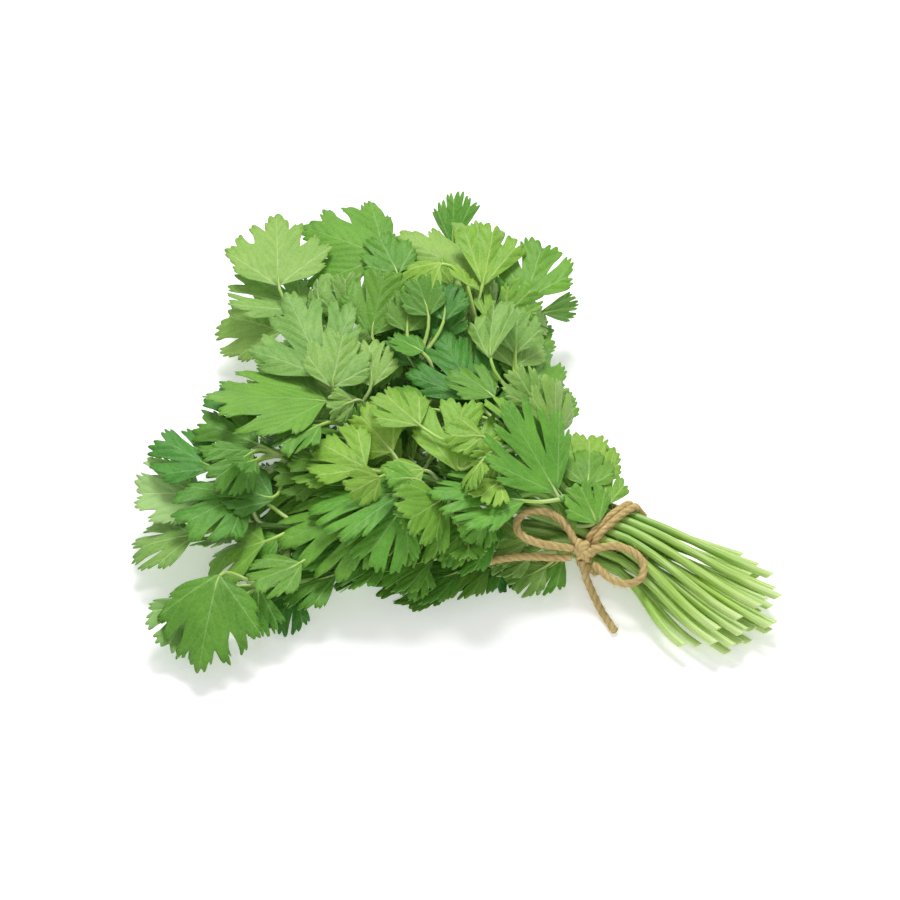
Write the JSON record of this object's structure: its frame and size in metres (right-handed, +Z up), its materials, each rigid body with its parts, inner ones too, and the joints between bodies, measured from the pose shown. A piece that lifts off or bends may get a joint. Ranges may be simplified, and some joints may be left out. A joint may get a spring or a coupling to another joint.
{
  "type": "coriander bunch",
  "caption": "Bunch of fresh coriander lying down, leafy stems tied with jute twine in a bow.",
  "frame": {"origin": "under the tie, on the flat underside of the twine wrap", "axes": "+X along the stems towards their cut ends, +Z up from the table, +Y to complete the right hand"},
  "size_m": [0.2706, 0.2445, 0.0591],
  "materials": {
    "leaf_mid": "satin",
    "leaf_light": "satin",
    "leaf_dark": "satin",
    "leaf_yellow": "satin",
    "jute": "matte"
  },
  "bodies": {
    "root": {"leafy_stem_01": "leaf_light", "leafy_stem_02": "leaf_light", "leafy_stem_03": "leaf_mid", "leafy_stem_04": "leaf_dark", "leafy_stem_05": "leaf_light", "leafy_stem_06": "leaf_mid", "leafy_stem_07": "leaf_yellow", "leafy_stem_08": "leaf_mid", "leafy_stem_09": "leaf_light", "leafy_stem_10": "leaf_mid", "leafy_stem_11": "leaf_dark", "leafy_stem_12": "leaf_yellow", "leafy_stem_13": "leaf_yellow", "leafy_stem_14": "leaf_yellow", "leafy_stem_15": "leaf_mid", "leafy_stem_16": "leaf_mid", "leafy_stem_17": "leaf_mid", "leafy_stem_18": "leaf_dark", "leafy_stem_19": "leaf_light", "leafy_stem_20": "leaf_light", "leafy_stem_21": "leaf_dark", "leafy_stem_22": "leaf_mid", "leafy_stem_23": "leaf_mid", "leafy_stem_24": "leaf_mid", "leafy_stem_25": "leaf_mid", "leafy_stem_26": "leaf_dark", "leafy_stem_27": "leaf_dark", "leafy_stem_28": "leaf_dark", "leafy_stem_29": "leaf_dark", "twine_wrap": "jute", "twine_knot": "jute", "twine_loop_left": "jute", "twine_loop_right": "jute", "twine_tail_left": "jute", "twine_tail_front": "jute"}
  },
  "joints": []
}
